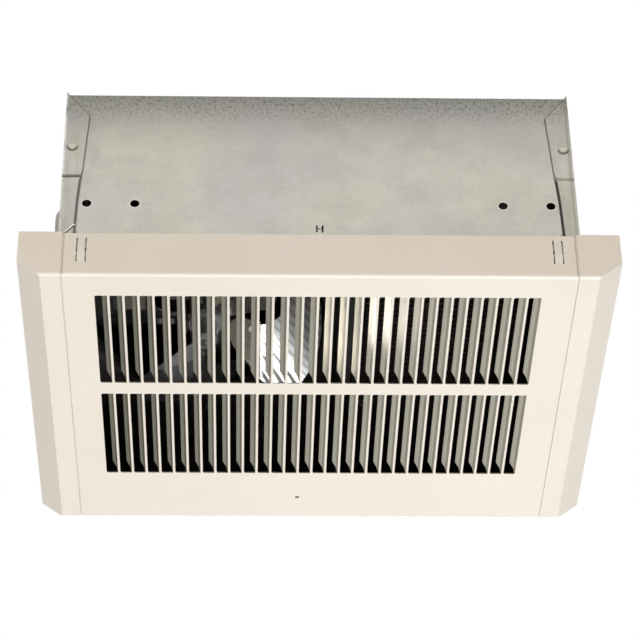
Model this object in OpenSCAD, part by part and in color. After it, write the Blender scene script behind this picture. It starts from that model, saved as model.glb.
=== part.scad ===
// Recessed ceiling fan heater: a galvanised box between the joists, a painted louvred tray below.
// X runs along the length, Y from the near long side to the far one, Z up.
// The origin is the middle of the ceiling opening, on the ceiling's face.

/* [Housing] */
// Length of the housing box over its end panels
box_l = 362; // [354:1:366]
// Depth of the housing box over its long walls
box_d = 291.6; // [286:0.2:300]
// Height of the housing box above the ceiling's face
box_h = 133; // [128:1:142]
// How far the housing box reaches below the ceiling's face
box_drop = 12; // [9:0.5:15]
// Thickness of the galvanised sheet
box_t = 0.8; // [0.6:0.1:1]
// Outside radius of the folded top edges
box_r = 1.8; // [1.4:0.2:3]
// Width of the end panels' top flanges
flange_w = 12; // [8:1:16]
// Width of the corner tabs at their widest
tab_w = 17.5; // [14:0.5:19]
// Width of the corner tabs at the box's mouth
tab_foot_w = 10.5; // [8:0.5:12]
// Height of the pressed step across each corner tab
tab_step_z = 53; // [48:1:58]
// Radius of the joist fixing holes
joist_hole_r = 3.25; // [2.5:0.05:3.6]
// Height of the joist fixing holes above the ceiling's face
joist_hole_z = 28.7; // [27:0.1:29]
// Distance from the box's ends to the outer joist holes
joist_hole_end = 18.4; // [18:0.1:21]
// Distance between the two joist holes of a pair
joist_hole_gap = 33.6; // [25:0.1:40]
// Radius of the cable knockout
knockout_r = 11.1; // [9:0.1:12]
// How far the pressed dish round the knockout stands out
dish_out = 3.5; // [2:0.5:4]

/* [Tray] */
// How far the tray overhangs the box at each end
tray_over = 27; // [24:1:34]
// Gap between the tray's long walls and the box's corner tabs
tray_fit = 1.5; // [1.4:0.1:3]
// Height of the tray below the ceiling's face
tray_h = 38; // [36:0.5:44]
// Thickness of the painted sheet
tray_t = 0.9; // [0.8:0.05:1]
// Outside radius of the folded long edges
tray_r = 2.2; // [1.8:0.2:4]
// Length of an end cap along the tray, with its half of the seam
cap_l = 31; // [29:1:35]
// Gap at the seams between the middle panel and the end caps
seam = 0.8; // [0.4:0.1:1.4]
// How far the end caps' rims stand above the middle panel's rim
cap_rise = 1.2; // [0.6:0.2:2]
// Width of the bevel at each end
bevel_w = 16; // [10:1:20]
// Height of the bevel at each end
bevel_h = 12; // [8:1:18]

/* [Louvres] */
// Louvres in each of the two rows
louvre_n = 30; // [24:1:31]
// Room between the louvres and each end of the middle panel
louvre_end = 21.75; // [20:0.25:26]
// Width of the bar between two louvre openings
louvre_bar = 1.65; // [1.5:0.05:2.2]
// Length of a louvre opening
row_l = 100.7; // [80:0.1:102]
// Width of the bar between the two rows
row_gap = 13.3; // [10:0.1:20]
// How far the louvres lie off the panel's middle along its length
field_x = -1; // [-4:0.5:4]
// How far the louvres lie off the panel's middle across its depth
field_y = -18.75; // [-22:0.05:10]
// Slope of the blades next to the face
fin_root_angle = 69; // [60:1:75]
// Slope of the blades' inner half
fin_tip_angle = 51; // [45:1:60]
// Length of the slanting cut at each end of a blade
fin_trim = 6.5; // [2:0.5:10]

/* [Fan] */
// Gap between the throat and the left end panel
throat_end = 4.2; // [4:0.1:6]
// Place of the fan's axis across the box
fan_y = 10; // [-10:1:20]
// Height of the fan's middle plane above the ceiling's face
fan_z = 46; // [44:0.5:47]
// Radius of the fan at the blade tips
fan_r = 87; // [80:0.5:87]
// Gap between the blade tips and the throat
tip_gap = 3; // [2.5:0.5:3]
// Radius of the throat's rolled lip
lip_r = 5; // [4:0.5:5]
// Blades of the fan
blade_n = 4; // [2:1:4]
// Angle at which the blades are set
blade_pitch = 27; // [20:1:28]
// Radius of the blades' camber
blade_camber = 200; // [180:5:600]
// Thickness of a blade
blade_t = 1.2; // [0.8:0.1:1.6]
// Turn of the first blade from the box's length
blade_turn = 0; // [0:1:89]
// Radius of the motor shaft
shaft_r = 3.175; // [2.9:0.025:3.4]

/* [Inside] */
// Height of the fan deck's underside above the ceiling's face
deck_z = 46; // [45:0.5:48]
// Depth of the fan deck's folded rim
deck_rim = 12; // [8:0.5:12]
// Height of the motor strap above the ceiling's face
strap_z = 73; // [72:0.5:76]
// Width of the motor strap
strap_w = 26; // [24:1:32]
// Height of the stator stack
stator_h = 20; // [16:1:22]
// Room on each side of the outlet opening, to the divider and the right end panel
outlet_side = 11.1; // [10:0.1:14]
// Gap between the limit switch and the near long wall
limit_gap = 4; // [3:0.5:8]
// Radius of the heating element's tube
element_r = 4; // [3:0.25:4.5]
// Plates on the heating element
fin_n = 32; // [12:1:34]
// Length of the wiring compartment along the box
wiring_l = 57.7; // [52:0.1:58]
// Depth of the wiring compartment across the box
wiring_d = 69.5; // [64:0.5:70]
// Radius of the sheet metal screws
screw_r = 2; // [1.6:0.1:2.2]
// Radius of the insulated leads
lead_r = 1.4; // [1:0.1:1.6]

/* [Hidden] */
$fn = 64;

zinc = [0.72, 0.71, 0.67];
paint = [0.93, 0.9, 0.85];
steel = [0.55, 0.55, 0.55];
dark_steel = [0.22, 0.21, 0.2];
aluminium = [0.85, 0.86, 0.88];
copper = [0.75, 0.42, 0.25];
black_paint = [0.1, 0.1, 0.1];

// Running, seating and cutting allowances
hole_gap = 0.1;
slide_gap = 0.3;
bush_gap = 0.03;
cut = 1;

in_l = box_l - 2 * box_t;
in_d = box_d - 2 * box_t;
box_top = box_h - box_t;
tray_l = box_l + 2 * tray_over;
panel_l = tray_l - 2 * cap_l;
louvre_pitch = (panel_l - 2 * louvre_end) / louvre_n;
louvre_w = louvre_pitch - louvre_bar;
joist_hole_x = box_l / 2 - joist_hole_end;
tray_d = box_d + 2 * (box_t + tray_fit + tray_t);

// A flat strip bent along pts: pts is one face and the sheet lies t to its left
function unit(v) = v / norm(v);
function left(v) = [-v[1], v[0]];
function along(pts, i) = unit(pts[min(i + 1, len(pts) - 1)] - pts[min(i, len(pts) - 2)]);
function before(pts, i) = i == 0 ? along(pts, 0) : unit(pts[i] - pts[i - 1]);
function corner(pts, i) =
    let (n = left(before(pts, i)), m = unit(n + left(along(pts, i))))
    m / (m * n);
function strip(pts, t) =
    concat(pts, [for (i = [len(pts) - 1:-1:0]) pts[i] + t * corner(pts, i)]);

// A closed outline with its corners cut n times, which rounds it
function rounded(pts, n) = n == 0 ? pts : rounded([for (i = [0:len(pts) - 1], k = [0.25, 0.75])
    pts[i] * (1 - k) + pts[(i + 1) % len(pts)] * k], n - 1);

// Extrudes a drawing of (y, z) along X, centred
module along_x(l) {
    translate([-l / 2, 0, 0]) rotate([90, 0, 90]) linear_extrude(l) children();
}

// Extrudes a drawing of (x, z) along Y, centred
module along_y(l) {
    translate([0, l / 2, 0]) rotate([90, 0, 0]) linear_extrude(l) children();
}

// A rectangle w wide from y = 0 down to y = -h, with round lower corners
module sagging_rect(w, h, r) {
    translate([-w / 2, r - h]) square([w, h - r]);
    translate([r - w / 2, -h]) square([w - 2 * r, h]);
    for (s = [-1, 1]) translate([s * (w / 2 - r), r - h]) circle(r);
}

// The same, as a folded sheet of thickness t
module folded_u(w, h, t, r) {
    difference() {
        sagging_rect(w, h, r);
        translate([0, cut]) sagging_rect(w - 2 * t, h + cut - t, r - t);
    }
}

// A pan head screw along -Z, its head's underside at the origin
module screw(r, l, head_r, head_h) {
    translate([0, 0, -l]) cylinder(r = r, h = l);
    cylinder(r = head_r, h = 0.6 * head_h);
    translate([0, 0, 0.6 * head_h]) cylinder(r1 = head_r, r2 = 0.6 * head_r, h = 0.4 * head_h);
}

// The sheet metal screws that hold the small parts
head_r = 3.4;
head_h = 1.8;
screw_l = 6;

module sheet_screw(l) {
    screw(screw_r, l, head_r, head_h);
}

// A rivet along Z through a stack from z = 0 to z = l
module rivet(r, l, head_r, head_h) {
    translate([0, 0, -head_h]) cylinder(r = head_r, h = head_h);
    cylinder(r = r, h = l);
    translate([0, 0, l]) cylinder(r1 = head_r, r2 = 0.7 * head_r, h = head_h);
}

// Housing
// Places on the long walls: the children are drawn at x, z with -Z pointing into the wall
module on_long_walls(xs, z, sides) {
    for (x = xs, s = sides)
        translate([x, s * box_d / 2, z]) rotate([s < 0 ? 90 : -90, 0, 0]) children();
}

rivet_x = box_l / 2 - 6;
rivet_drop = 52;
rivet_z = box_h - rivet_drop;
rivet_r = 2;
clip_rivet_r = 1.6;
hook_slot = [1.2, 6.5];
hook_gap = 4;
hook_z = 3.5;

module housing_wrapper() {
    color(zinc) difference() {
        translate([0, 0, -box_drop]) mirror([0, 0, 1])
            along_x(in_l) folded_u(box_d, box_top + box_drop, box_t, box_r);
        on_long_walls([-joist_hole_x, joist_hole_gap - joist_hole_x,
            joist_hole_x - joist_hole_gap, joist_hole_x], joist_hole_z, [-1])
            translate([0, 0, -box_t - cut]) cylinder(r = joist_hole_r, h = box_t + 2 * cut);
        on_long_walls([-rivet_x, rivet_x], rivet_z, [-1, 1])
            translate([0, 0, -box_t - cut])
                cylinder(r = rivet_r + hole_gap, h = box_t + 2 * cut);
        on_long_walls([-clip_x, clip_x], clip_rivet_z, [-1, 1])
            translate([0, 0, -box_t - cut])
                cylinder(r = clip_rivet_r + hole_gap, h = box_t + 2 * cut);
        translate([0, -box_d / 2 - cut, hook_z]) {
            for (s = [-1, 1]) translate([s * hook_gap / 2 - hook_slot[0] / 2, 0, 0])
                cube([hook_slot[0], box_t + 2 * cut, hook_slot[1]]);
            translate([-hook_gap / 2, 0, hook_slot[1] / 2 - 0.5])
                cube([hook_gap, box_t + 2 * cut, 1]);
        }
    }
}

// Outline of a corner tab: x is the distance in from the box's end, y is the height
tab_shoulder_z = box_h - 1.25 * tab_w;
tab_outline = [[0, -box_drop], [tab_foot_w - 4, -box_drop], [tab_foot_w - 4, -4],
    [tab_foot_w, 2], [tab_foot_w + 0.8, tab_step_z - 22], [tab_foot_w + 2, tab_step_z - 4],
    [tab_w - 3, tab_step_z + 6], [tab_w, tab_shoulder_z], [0, box_h]];
tab_groove = 0.4;

module end_panel() {
    difference() {
        union() {
            translate([in_l / 2, -box_d / 2 - box_t, -box_drop])
                cube([box_t, box_d + 2 * box_t, box_h + box_drop]);
            for (s = [-1, 1]) translate([box_l / 2, s * (box_d + box_t) / 2, 0])
                mirror([1, 0, 0]) along_y(box_t) polygon(tab_outline);
            translate([0, 0, box_top]) linear_extrude(box_t) polygon([
                [box_l / 2, -box_d / 2], [box_l / 2, box_d / 2],
                [box_l / 2 - flange_w, box_d / 2 - flange_w],
                [box_l / 2 - flange_w, flange_w - box_d / 2]]);
        }
        for (s = [-1, 1]) {
            translate([rivet_x, s * box_d / 2, rivet_z]) rotate([90, 0, 0])
                cylinder(r = rivet_r + hole_gap, h = 4 * box_t, center = true);
            translate([box_l / 2, 0, tab_step_z]) mirror([0, s < 0 ? 1 : 0, 0])
                translate([0, box_d / 2 + box_t, 0]) along_x(2 * tab_w + cut)
                polygon([[-tab_groove, tab_groove], [-tab_groove, -tab_groove],
                    [tab_groove, -5 * tab_groove], [tab_groove, 5 * tab_groove]]);
            translate([box_l / 2, s * deck_screw_y, deck_screw_z]) rotate([0, 90, 0])
                cylinder(r = screw_r + hole_gap, h = 4 * box_t, center = true);
        }
    }
}

knockout_y = 24.8 - box_d / 2;
knockout_z = 19;
dish_r = knockout_r + 4.4;
dish_foot_r = dish_r + dish_out + 1;

module left_end_panel() {
    color(zinc) difference() {
        union() {
            mirror([1, 0, 0]) end_panel();
            translate([-box_l / 2, knockout_y, knockout_z]) rotate([0, -90, 0])
                cylinder(r1 = dish_foot_r, r2 = dish_r, h = dish_out);
        }
        translate([-box_l / 2, knockout_y, knockout_z]) rotate([0, -90, 0]) {
            translate([0, 0, -box_t])
                cylinder(r1 = dish_foot_r - box_t, r2 = dish_r - box_t, h = dish_out);
            translate([0, 0, -box_t - cut])
                cylinder(r = dish_foot_r - box_t, h = cut + 0.01);
            cylinder(r = knockout_r, h = dish_out + cut);
        }
    }
}

module right_end_panel() {
    color(zinc) end_panel();
}

module corner_rivets() {
    color(zinc) for (x = [-rivet_x, rivet_x], s = [-1, 1])
        translate([x, s * (box_d / 2 - box_t), rivet_z]) rotate([-90 * s, 0, 0])
            rivet(rivet_r, 2 * box_t, 3.6, 0.7);
}

// Fan deck
throat_r = fan_r + tip_gap;
throat_hole_r = throat_r + lip_r;
throat_h = 12;
fan_x = throat_hole_r + throat_end - in_l / 2;
divider_x = fan_x + throat_hole_r + 4;
outlet_x = (divider_x + in_l / 2) / 2;
outlet_w = in_l / 2 - divider_x - 2 * outlet_side;
element_pitch = (outlet_w - 50) / 3;
plate_w = 3 * element_pitch + 30;
deck_top = deck_z + box_t;
deck_screw_y = 60;
deck_screw_z = deck_z - 6;
strap_foot = 12;
strap_t = 1.5;
strap_leg = throat_hole_r + 6;
strap_hole = strap_leg + strap_foot / 2 + 0.5;
bracket_foot = 12;
bracket_screw_x = plate_w / 2;
limit_screw = 9;
limit_l = 2 * limit_screw + 5;
limit_y = -in_d / 2 + limit_gap + limit_l / 2;
bracket_y = -limit_y - limit_l / 2 - bracket_foot - 2;
outlet_l = 2 * (bracket_y - 4);
limit_x = outlet_x - 1.5 * element_pitch - 16;
fin_pitch = 2 * (bracket_y - 11) / (fin_n - 1);
divider_foot = 11;
divider_screw_y = 90;
ground_at = [-in_l / 2 + 50, -in_d / 2 + 45];
block_at = [-in_l / 2 + 34, -in_d / 2 + 42];
block_size = [18, 48, 13];
block_screw = 20.4;
block_pole = [-12, -4, 4, 12];
wiring_foot = 10;
wiring_screw = [-in_l / 2 + 20, wiring_d - in_d / 2 + wiring_foot / 2];

lead_hole = [-in_l / 2 + 18, 14 - in_d / 2];
lead_hole_r = 5;
deck_holes = concat(
    [for (s = [-1, 1]) [fan_x, fan_y + s * strap_hole]],
    [for (s = [-1, 1], t = [-1, 1])
        [outlet_x + s * bracket_screw_x, t * (bracket_y + bracket_foot / 2 + 1)]],
    [for (s = [-1, 1]) [limit_x, limit_y + s * limit_screw]],
    [for (s = [-1, 1]) [divider_x + box_t + divider_foot / 2, s * divider_screw_y]],
    [wiring_screw],
    [ground_at], [for (s = [-1, 1]) [block_at[0], block_at[1] + s * block_screw]]);

module throat() {
    translate([fan_x, fan_y, deck_z]) {
        rotate_extrude() translate([throat_hole_r, 0]) intersection() {
            translate([-lip_r - cut, 0]) square([lip_r + cut, lip_r]);
            translate([0, lip_r]) difference() {
                circle(lip_r);
                circle(lip_r - box_t);
            }
        }
        rotate_extrude() translate([throat_r, lip_r]) square([box_t, throat_h - lip_r]);
    }
}

module fan_deck() {
    color(black_paint) {
        difference() {
            translate([-in_l / 2, -in_d / 2, deck_z - deck_rim])
                cube([in_l, in_d, deck_rim + box_t]);
            translate([box_t - in_l / 2, box_t - in_d / 2, deck_z - deck_rim - cut])
                cube([in_l - 2 * box_t, in_d - 2 * box_t, deck_rim + cut]);
            translate([fan_x, fan_y, deck_z - cut]) cylinder(r = throat_hole_r, h = 2 * cut + box_t);
            translate([outlet_x - outlet_w / 2, -outlet_l / 2, deck_z - cut])
                cube([outlet_w, outlet_l, box_t + 2 * cut]);
            for (p = deck_holes) translate([p[0], p[1], deck_z - cut])
                cylinder(r = screw_r + hole_gap, h = box_t + 2 * cut);
            for (s = [-1, 1], t = [-1, 1]) translate([s * in_l / 2, t * deck_screw_y, deck_screw_z])
                rotate([0, 90, 0])
                    cylinder(r = screw_r + hole_gap, h = 4 * box_t, center = true);
            translate([lead_hole[0], lead_hole[1], deck_z - cut])
                cylinder(r = lead_hole_r, h = box_t + 2 * cut);
        }
        throat();
    }
}

module deck_screws() {
    color(steel) for (s = [-1, 1], t = [-1, 1])
        translate([s * box_l / 2, t * deck_screw_y, deck_screw_z]) rotate([0, s * 90, 0])
            screw(screw_r, screw_l, 3.6, 2);
}

// Divider between the fan side and the heater side
fin_half = (louvre_w - 0.4) / 2;
fin_h = fin_half * (sin(fin_root_angle) + sin(fin_tip_angle));
divider_foot_z = tray_t + fin_h + 2 - tray_h;

module divider() {
    color(black_paint) difference() {
        along_y(in_d - 2 * box_t - 2 * slide_gap) polygon(strip([
            [divider_x, divider_foot_z], [divider_x, deck_z],
            [divider_x + box_t + divider_foot, deck_z]], -box_t));
        for (s = [-1, 1])
            translate([divider_x + box_t + divider_foot / 2, s * divider_screw_y, deck_z - 2 * cut])
                cylinder(r = screw_r + hole_gap, h = 3 * cut);
    }
}

module divider_screws() {
    color(steel) for (s = [-1, 1])
        translate([divider_x + box_t + divider_foot / 2, s * divider_screw_y, deck_z - box_t])
            mirror([0, 0, 1]) sheet_screw(screw_l);
}

// Wiring compartment in the near left corner, below the deck
wiring_z = -10;
clip_room = 2.2;

module wiring_cover() {
    x0 = clip_room - in_l / 2;
    y0 = clip_room - in_d / 2;
    x1 = wiring_l - in_l / 2;
    y1 = wiring_d - in_d / 2;
    color(zinc) {
        difference() {
            translate([x0, y0, wiring_z]) cube([x1 - x0, y1 - y0, deck_z - wiring_z]);
            translate([x0 - cut, y0 - cut, wiring_z + box_t])
                cube([x1 - x0 + cut - box_t, y1 - y0 + cut - box_t, deck_z - wiring_z]);
        }
        difference() {
            translate([wiring_screw[0] - 11, y1 - box_t, deck_z - box_t])
                cube([22, wiring_foot + box_t, box_t]);
            translate([wiring_screw[0], wiring_screw[1], deck_z - 2 * cut])
                cylinder(r = screw_r + hole_gap, h = 3 * cut);
        }
    }
}

module wiring_cover_screw() {
    color(steel) translate([wiring_screw[0], wiring_screw[1], deck_z - box_t])
        mirror([0, 0, 1]) sheet_screw(screw_l);
}

block_wire_z = 8;

module terminal_block() {
    color([0.85, 0.83, 0.76]) translate([block_at[0], block_at[1], deck_z]) mirror([0, 0, 1])
        difference() {
            union() {
                translate([-block_size[0] / 2, -block_size[1] / 2, 0])
                    cube([block_size[0], block_size[1], 4]);
                for (y = block_pole) translate([-block_size[0] / 2, y - 3, 0])
                    cube([block_size[0], 6, block_size[2]]);
            }
            for (s = [-1, 1]) translate([0, s * block_screw, -cut])
                cylinder(r = screw_r + hole_gap, h = 4 + 2 * cut);
            for (y = block_pole, s = [-1, 1]) {
                translate([s * 5, y, block_size[2] - 3]) cylinder(r = 1.8, h = 3 + cut);
                translate([s * (block_size[0] / 2 - 2), y, block_wire_z]) rotate([0, 90, 0])
                    cylinder(r = lead_r + 0.1, h = 4 + cut, center = true);
            }
        }
}

module terminal_screws() {
    color(steel) translate([block_at[0], block_at[1], deck_z]) mirror([0, 0, 1]) {
        for (s = [-1, 1]) translate([0, s * block_screw, 4])
            screw(screw_r, 4 + 2.5, 3.2, 1.8);
        for (y = block_pole, s = [-1, 1])
            translate([s * 5, y, block_size[2] - 3]) cylinder(r = 1.7, h = 3.6);
    }
}

module ground_screw() {
    color([0.2, 0.5, 0.25]) translate([ground_at[0], ground_at[1], deck_z])
        mirror([0, 0, 1]) {
            translate([0, 0, -5]) cylinder(r = screw_r, h = 5);
            cylinder(r = 5, h = 0.8);
            translate([0, 0, 0.8]) cylinder(r = 4, h = 3, $fn = 6);
        }
}

// Spring tongues that hold the tray
grip_inset = 12.7;
grip_w = 5.2;
grip_slit = 1;
grip_l = 21;
grip_drop = 4;
grip_bulge = 1;
grip_z = -cap_rise - grip_drop - grip_l / 2;
clip_x = panel_l / 2 - grip_inset;
clip_w = 10;
clip_t = 0.5;
clip_rivet_z = 4 - box_drop;
clip_reach = tray_d / 2 - tray_t - slide_gap;

module grille_clips() {
    inner = in_d / 2;
    color(steel) for (x = [-clip_x, clip_x], s = [-1, 1]) difference() {
        translate([x, 0, 0]) mirror([0, s < 0 ? 1 : 0, 0]) along_x(clip_w) polygon(strip([
            [inner, clip_rivet_z + 4], [inner, -box_drop - 1], [clip_reach - 0.8, grip_z],
            [clip_reach, grip_z - 1], [clip_reach, grip_z - 3], [inner + 0.5, grip_z - 7]],
            -clip_t));
        translate([x, s * inner, clip_rivet_z]) rotate([90, 0, 0])
            cylinder(r = clip_rivet_r + hole_gap, h = 4, center = true);
    }
}

module clip_rivets() {
    color(steel) for (x = [-clip_x, clip_x], s = [-1, 1])
        translate([x, s * (in_d / 2 - clip_t), clip_rivet_z]) rotate([-90 * s, 0, 0])
            rivet(clip_rivet_r, clip_t + box_t, 2.2, 0.6);
}

// Motor on its strap over the throat
motor_z = strap_z + strap_t;
bearing_plate = 2.5;
bearing_stand = 9;
stator_z = motor_z + bearing_stand;
stator_top = stator_z + stator_h;
upper_z = stator_top + bearing_stand;
clamp_x = 25.5;
mount_y = 20;
boss_r = 8;
bush_r = 5;
bush_l = 8;

module at_fan(z) {
    translate([fan_x, fan_y, z]) children();
}

module motor_strap() {
    color(zinc) at_fan(0) difference() {
        along_x(strap_w) polygon(strip([
            [-strap_leg - strap_foot, deck_top], [-strap_leg, deck_top], [-strap_leg, strap_z],
            [strap_leg, strap_z], [strap_leg, deck_top], [strap_leg + strap_foot, deck_top]],
            strap_t));
        translate([0, 0, strap_z - cut]) cylinder(r = boss_r + 1, h = strap_t + 2 * cut);
        for (s = [-1, 1]) {
            translate([0, s * mount_y, strap_z - cut])
                cylinder(r = screw_r + hole_gap, h = strap_t + 2 * cut);
            translate([0, s * strap_hole, deck_top - cut])
                cylinder(r = screw_r + hole_gap, h = strap_t + 2 * cut);
        }
    }
}

module strap_screws() {
    color(steel) for (s = [-1, 1]) at_fan(deck_top + strap_t)
        translate([0, s * strap_hole, 0]) sheet_screw(screw_l);
}

module motor_mount_screws() {
    color(steel) for (s = [-1, 1]) at_fan(strap_z)
        translate([0, s * mount_y, 0]) mirror([0, 0, 1])
            sheet_screw(strap_t + bearing_plate);
}

// A bearing bracket, its plate's outer face at z = 0 and its legs up to the stator
module bearing_bracket() {
    difference() {
        union() {
            translate([-clamp_x - 5, -10, 0]) cube([2 * clamp_x + 10, 20, bearing_plate]);
            translate([-10, -mount_y - 5, 0]) cube([20, 2 * mount_y + 10, bearing_plate]);
            for (s = [-1, 1]) translate([s * clamp_x, 0, 0])
                cylinder(r = 4.5, h = bearing_stand);
            translate([0, 0, -4]) cylinder(r1 = boss_r - 1, r2 = boss_r, h = 4);
            cylinder(r = boss_r, h = 4.5);
        }
        translate([0, 0, -4 - cut]) cylinder(r = bush_r + bush_gap, h = 10 + cut);
        for (s = [-1, 1]) {
            translate([s * clamp_x, 0, -cut])
                cylinder(r = screw_r + hole_gap, h = bearing_stand + 2 * cut);
            translate([0, s * mount_y, -cut])
                cylinder(r = screw_r + hole_gap, h = bearing_plate + 2 * cut);
        }
    }
}

module lower_bearing_bracket() {
    color([0.68, 0.68, 0.66]) at_fan(motor_z) bearing_bracket();
}

module upper_bearing_bracket() {
    color([0.68, 0.68, 0.66]) at_fan(upper_z) mirror([0, 0, 1]) bearing_bracket();
}

module bearing_bushes() {
    color([0.62, 0.48, 0.3]) for (z = [motor_z - 3.5, upper_z + 3.5 - bush_l]) at_fan(z)
        difference() {
            cylinder(r = bush_r, h = bush_l);
            translate([0, 0, -cut]) cylinder(r = shaft_r + bush_gap, h = bush_l + 2 * cut);
        }
}

rotor_r = 13;
air_gap = 0.35;
stator_w = 60;
stator_near = 28;
limb_y = 36;
limb_w = 14;
coil_half = 17;
coil_pad = 6;
ring_at = [[16.4, -9], [16.4, 4]];

module stator_core() {
    color(dark_steel) at_fan(stator_z) linear_extrude(stator_h) difference() {
        translate([-stator_w / 2, -stator_near]) square([stator_w, stator_near + limb_y + limb_w]);
        circle(rotor_r + air_gap);
        translate([-20, 17.5]) square([40, limb_y - 17.5]);
        translate([-1.5, -stator_near + 6]) square([3, stator_near]);
        for (s = [-1, 1]) {
            translate([s * clamp_x, 0]) circle(screw_r + hole_gap);
            for (p = ring_at, k = [0, 1])
                translate([s * (p[0] + 3 * k) - 1.2, p[1] - 1.2])
                    square(2.4);
        }
    }
}

module shading_rings() {
    color(copper) at_fan(stator_z) for (s = [-1, 1], p = ring_at) difference() {
        translate([s * (p[0] + 1.5) - 2.6, p[1] - 1.1, -1.6])
            cube([5.2, 2.2, stator_h + 3.2]);
        translate([s * (p[0] + 1.5) - 0.4, p[1] - 2, 0]) cube([0.8, 4, stator_h]);
    }
}

module coil_bobbin() {
    color([0.9, 0.88, 0.8]) at_fan(stator_z + stator_h / 2)
        translate([0, limb_y + limb_w / 2, 0]) difference() {
            union() {
                for (s = [-1, 1]) translate([s * (coil_half - 0.75), 0, 0])
                    cube([1.5, limb_w + 2 * coil_pad, stator_h + 2 * coil_pad], center = true);
                cube([2 * coil_half, limb_w + 2, stator_h + 2], center = true);
            }
            cube([2 * coil_half + 2, limb_w + 0.2, stator_h + 0.2], center = true);
        }
}

module coil_winding() {
    color([0.55, 0.5, 0.35]) at_fan(stator_z + stator_h / 2)
        translate([0, limb_y + limb_w / 2, 0]) difference() {
            cube([2 * coil_half - 3.2, limb_w + 2 * coil_pad - 1, stator_h + 2 * coil_pad - 1],
                center = true);
            cube([2 * coil_half, limb_w + 2.1, stator_h + 2.1], center = true);
        }
}

nut_h = 3;

module motor_clamp_screws() {
    color(steel) for (s = [-1, 1]) at_fan(motor_z) translate([s * clamp_x, 0, 0])
        mirror([0, 0, 1]) sheet_screw(upper_z - motor_z + nut_h + 0.4);
}

module motor_clamp_nuts() {
    color(steel) for (s = [-1, 1]) at_fan(upper_z) translate([s * clamp_x, 0, 0])
        difference() {
            cylinder(r = 4, h = nut_h, $fn = 6);
            translate([0, 0, -cut]) cylinder(r = screw_r + hole_gap, h = nut_h + 2 * cut);
        }
}

// Heating element over the outlet opening
element_z = deck_top + 15;
pass_half = bracket_y + 6;
tail = 12;
pass_x = [for (k = [-1.5, -0.5, 0.5, 1.5]) outlet_x + k * element_pitch];
plate_t = 0.5;
plate_h = 26;
pin_r = 1.6;
pin_l = 10;
bush_out_r = element_r + 1.5;
end_bush_l = 6;

module hairpin(x, side) {
    translate([x, side * pass_half, element_z]) rotate([0, 0, side < 0 ? 180 : 0])
        rotate_extrude(angle = 180) translate([element_pitch / 2, 0]) circle(element_r);
}

module heating_element() {
    color(dark_steel) {
        for (i = [0:3]) {
            near_end = (i == 0 || i == 3) ? pass_half + tail : pass_half;
            translate([pass_x[i], -near_end, element_z]) rotate([-90, 0, 0])
                cylinder(r = element_r, h = near_end + pass_half);
        }
        hairpin((pass_x[0] + pass_x[1]) / 2, 1);
        hairpin((pass_x[2] + pass_x[3]) / 2, 1);
        hairpin(outlet_x, -1);
    }
}

module element_plates() {
    color([0.4, 0.39, 0.37]) for (i = [0:fin_n - 1])
        translate([0, (i - (fin_n - 1) / 2) * fin_pitch, element_z]) along_y(plate_t)
            difference() {
                translate([outlet_x - plate_w / 2, -plate_h / 2]) square([plate_w, plate_h]);
                for (x = pass_x) translate([x, 0]) circle(element_r + bush_gap);
            }
}

module element_brackets() {
    color(zinc) for (s = [-1, 1]) mirror([0, s < 0 ? 1 : 0, 0]) difference() {
        translate([outlet_x, 0, 0]) along_x(plate_w + 14) polygon(strip([
            [bracket_y, element_z + plate_h / 2], [bracket_y, deck_top],
            [bracket_y + 1 + bracket_foot, deck_top]], 1));
        for (x = pass_x) translate([x, bracket_y, element_z]) rotate([90, 0, 0])
            cylinder(r = element_r + hole_gap, h = 6, center = true);
        for (t = [-1, 1])
            translate([outlet_x + t * bracket_screw_x, bracket_y + bracket_foot / 2 + 1,
                deck_top - cut])
                cylinder(r = screw_r + hole_gap, h = 4);
    }
}

module element_bracket_screws() {
    color(steel) for (s = [-1, 1], t = [-1, 1])
        translate([outlet_x + t * bracket_screw_x, s * (bracket_y + bracket_foot / 2 + 1),
            deck_top + 1]) sheet_screw(screw_l - 1);
}

module element_bushes() {
    color([0.9, 0.9, 0.86]) for (x = [pass_x[0], pass_x[3]])
        translate([x, -pass_half - tail, element_z]) rotate([90, 0, 0]) difference() {
            cylinder(r1 = bush_out_r, r2 = element_r, h = end_bush_l);
            translate([0, 0, -cut])
                cylinder(r = pin_r + bush_gap, h = end_bush_l + 2 * cut);
        }
}

module element_terminals() {
    color(steel) for (x = [pass_x[0], pass_x[3]])
        translate([x, -pass_half - tail, element_z]) rotate([90, 0, 0])
            cylinder(r = pin_r, h = pin_l);
}

limit_h = 9;
spade_x = 4;
spade_h = 8;

module limit_switch() {
    color([0.25, 0.25, 0.26]) translate([limit_x, limit_y, deck_top]) difference() {
        union() {
            translate([-6, -limit_l / 2, 0]) cube([12, limit_l, 0.8]);
            cylinder(r = 6.5, h = limit_h);
            for (s = [-1, 1]) translate([s * spade_x - 0.4, -3.2, limit_h]) cube([0.8, 6.4, spade_h]);
        }
        for (s = [-1, 1]) translate([0, s * limit_screw, -cut])
            cylinder(r = screw_r + hole_gap, h = 0.8 + 2 * cut);
    }
}

module limit_switch_screws() {
    color(steel) for (s = [-1, 1])
        translate([limit_x, limit_y + s * limit_screw, deck_top + 0.8])
            screw(screw_r, 4, 2.4, 1.6);
}

// Insulated leads from the terminal block to the motor, the limit switch and the element
function eased(pts, n) = n == 0 ? pts : eased(concat([pts[0]],
    [for (i = [0:len(pts) - 2], k = [0.25, 0.75])
        if (!(i == 0 && k < 0.5) && !(i == len(pts) - 2 && k > 0.5))
            pts[i] * (1 - k) + pts[i + 1] * k],
    [pts[len(pts) - 1]]), n - 1);
function heading(p, i) = unit(p[min(i + 1, len(p) - 1)] - p[max(i - 1, 0)]);
lead_ref = [0.47, -0.62, 0.63];

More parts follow.
